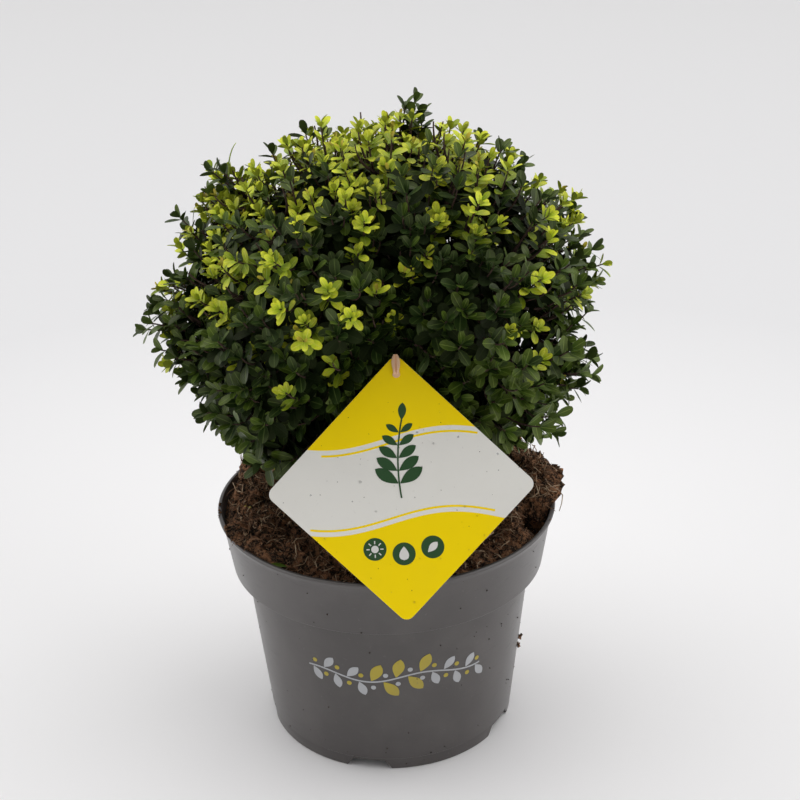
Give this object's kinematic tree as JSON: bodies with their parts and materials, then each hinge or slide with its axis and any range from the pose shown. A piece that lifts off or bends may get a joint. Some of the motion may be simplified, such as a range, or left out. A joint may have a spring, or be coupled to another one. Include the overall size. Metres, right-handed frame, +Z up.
{
  "type": "potted holly ball",
  "caption": "Small-leaved evergreen holly clipped to a ball, rooted in compost in a round plastic nursery pot, with a square care card on a stake.",
  "frame": {"origin": "the middle of the pot's underside, on the ground", "axes": "+Z up the plant; -Y towards the front, where the card leans on the rim; +X to the right seen from the front"},
  "size_m": [0.355, 0.3168, 0.4997],
  "materials": {
    "pot_plastic": "satin taupe-grey injection-moulded plastic",
    "compost": "moist fibrous dark brown peat and fine roots",
    "printed_card": "printed synthetic card with a light gloss",
    "stake_plastic": "tan moulded plastic",
    "bark": "rough grey-brown bark",
    "foliage": "small glossy dark green leaves with lime young tips"
  },
  "bodies": {
    "root": {"pot": "pot_plastic", "compost": "compost", "label_card": "printed_card", "label_stake": "stake_plastic", "trunk": "bark", "bough_upper_back_right": "bark", "bough_upper_back_left": "bark", "bough_upper_front_left": "bark", "bough_upper_front_right": "bark", "bough_lower_front": "bark", "bough_lower_right": "bark", "bough_lower_back_right": "bark", "bough_lower_back_left": "bark", "bough_lower_left": "bark", "foliage_top": "foliage", "foliage_upper_back_right": "foliage", "foliage_upper_back_left": "foliage", "foliage_upper_front_left": "foliage", "foliage_upper_front_right": "foliage", "foliage_lower_front": "foliage", "foliage_lower_right": "foliage", "foliage_lower_back_right": "foliage", "foliage_lower_back_left": "foliage", "foliage_lower_left": "foliage"}
  },
  "joints": []
}
